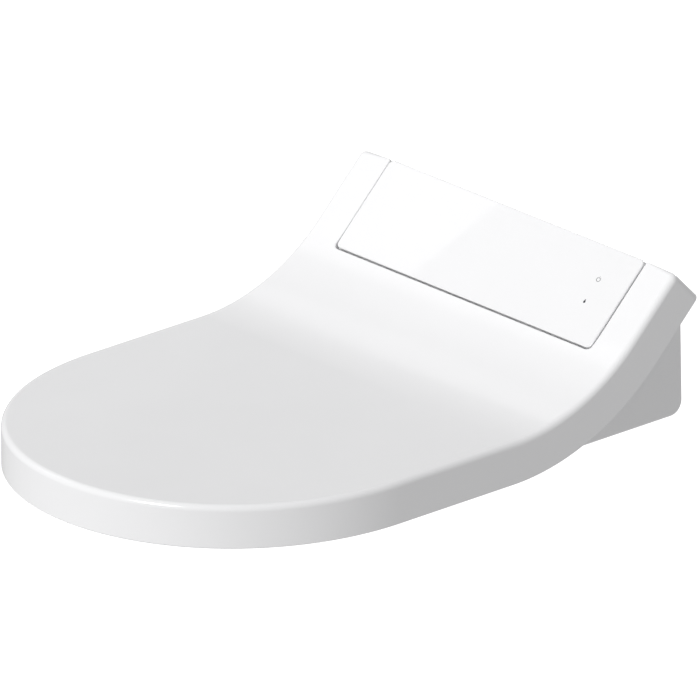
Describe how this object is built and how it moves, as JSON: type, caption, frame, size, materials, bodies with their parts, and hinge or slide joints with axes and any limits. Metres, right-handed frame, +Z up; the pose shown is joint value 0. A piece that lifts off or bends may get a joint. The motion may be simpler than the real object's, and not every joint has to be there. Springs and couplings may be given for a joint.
{
  "type": "electric bidet seat",
  "caption": "Slim electric bidet seat with a one-piece sweeping lid, heated ring, extending wash wand and a touch panel on a slide-off unit.",
  "frame": {"origin": "centre of the two fixing slots, on the ceramic that the mounting plate and the unit stand on", "axes": "+Z up, the seat's front towards -Y, +X to the right when facing +Y"},
  "size_m": [0.373, 0.532, 0.1417],
  "materials": {
    "white_gloss": "moulded, polished",
    "panel_gloss": "moulded, mirror gloss",
    "white_matte": "moulded, fine grain",
    "grey_plastic": "moulded",
    "black_plastic": "moulded",
    "white_wand": "moulded",
    "soft_rubber": "moulded silicone",
    "steel": "drawn",
    "brass": "turned",
    "bush": "moulded acetal",
    "circuit_board": "solder mask",
    "coil": "potted",
    "tank": "glass-filled, moulded",
    "foil": "rolled foil",
    "lens": "frosted"
  },
  "bodies": {
    "plate": {"mounting_plate": "steel", "plate_grip_strips": "soft_rubber"},
    "unit": {"housing_cover": "white_gloss", "housing_base": "grey_plastic", "housing_screws": "steel", "base_pads": "soft_rubber", "control_panel": "panel_gloss", "panel_gasket": "soft_rubber", "touch_board": "circuit_board", "main_board": "circuit_board", "power_supply_board": "circuit_board", "board_screws": "steel", "cable_gland": "black_plastic", "water_inlet": "brass", "inlet_strainer": "steel", "solenoid_valve_body": "black_plastic", "solenoid_coil": "coil", "flow_sensor_body": "grey_plastic", "heater_tank": "tank", "heater_element": "steel", "thermal_cutout": "black_plastic", "supply_hoses": "grey_plastic", "lid_damper": "black_plastic", "seat_damper": "black_plastic", "hinge_bushes": "bush", "wand_cradle": "grey_plastic", "wand_motor": "steel", "night_light_lens": "lens", "night_light_board": "circuit_board"},
    "seat": {"seat_ring": "white_gloss", "seat_base": "white_matte", "seat_heater_foil": "foil", "seat_sensor": "circuit_board", "seat_feet": "soft_rubber", "seat_hinge_shaft": "steel"},
    "lid": {"lid": "white_gloss", "lid_buffers": "soft_rubber", "lid_hinge_shaft": "steel"},
    "wand": {"wand_tube": "white_wand", "wand_tip": "white_wand", "wand_end_cap": "white_wand", "wand_rack": "white_wand"},
    "pinion": {"drive_pinion": "black_plastic", "drive_shaft": "steel"},
    "button": {"release_button": "white_matte"},
    "plunger": {"valve_plunger": "steel"},
    "turbine": {"flow_turbine": "black_plastic"}
  },
  "joints": [
    {"name": "unit_slide", "type": "slide", "parent": "plate", "child": "unit", "axis": [0, -1, 0], "range_m": [0, 0.095]},
    {"name": "seat_hinge", "type": "hinge", "parent": "unit", "child": "seat", "pos_m": [0, 0.03918, 0.10257], "axis": [-1, 0, 0], "range_deg": [0, 92]},
    {"name": "lid_hinge", "type": "hinge", "parent": "seat", "child": "lid", "pos_m": [0, 0.03918, 0.10257], "axis": [-1, 0, 0], "range_deg": [0, 100]},
    {"name": "wand_slide", "type": "slide", "parent": "unit", "child": "wand", "axis": [0, -0.9135, -0.4067], "range_m": [0, 0.1]},
    {"name": "pinion_spin", "type": "hinge", "parent": "unit", "child": "pinion", "pos_m": [0.0173, -0.07259, 0.0237], "axis": [0, -0.4067, 0.9135], "range_deg": [0, 717]},
    {"name": "button_press", "type": "slide", "parent": "unit", "child": "button", "axis": [1, 0, 0], "range_m": [0, 0.003], "stiffness_N_per_m": 500, "springref_m": -0.003},
    {"name": "plunger_lift", "type": "slide", "parent": "unit", "child": "plunger", "axis": [0, 0, 1], "range_m": [0, 0.003], "stiffness_N_per_m": 200, "springref_m": -0.002},
    {"name": "turbine_spin", "type": "hinge", "parent": "unit", "child": "turbine", "pos_m": [-0.097, 0.058, 0.034], "axis": [0, 0, 1], "continuous": true}
  ],
  "couplings": [
    {"joint": "pinion_spin", "follows": "wand_slide", "rad_per_m": 125}
  ]
}
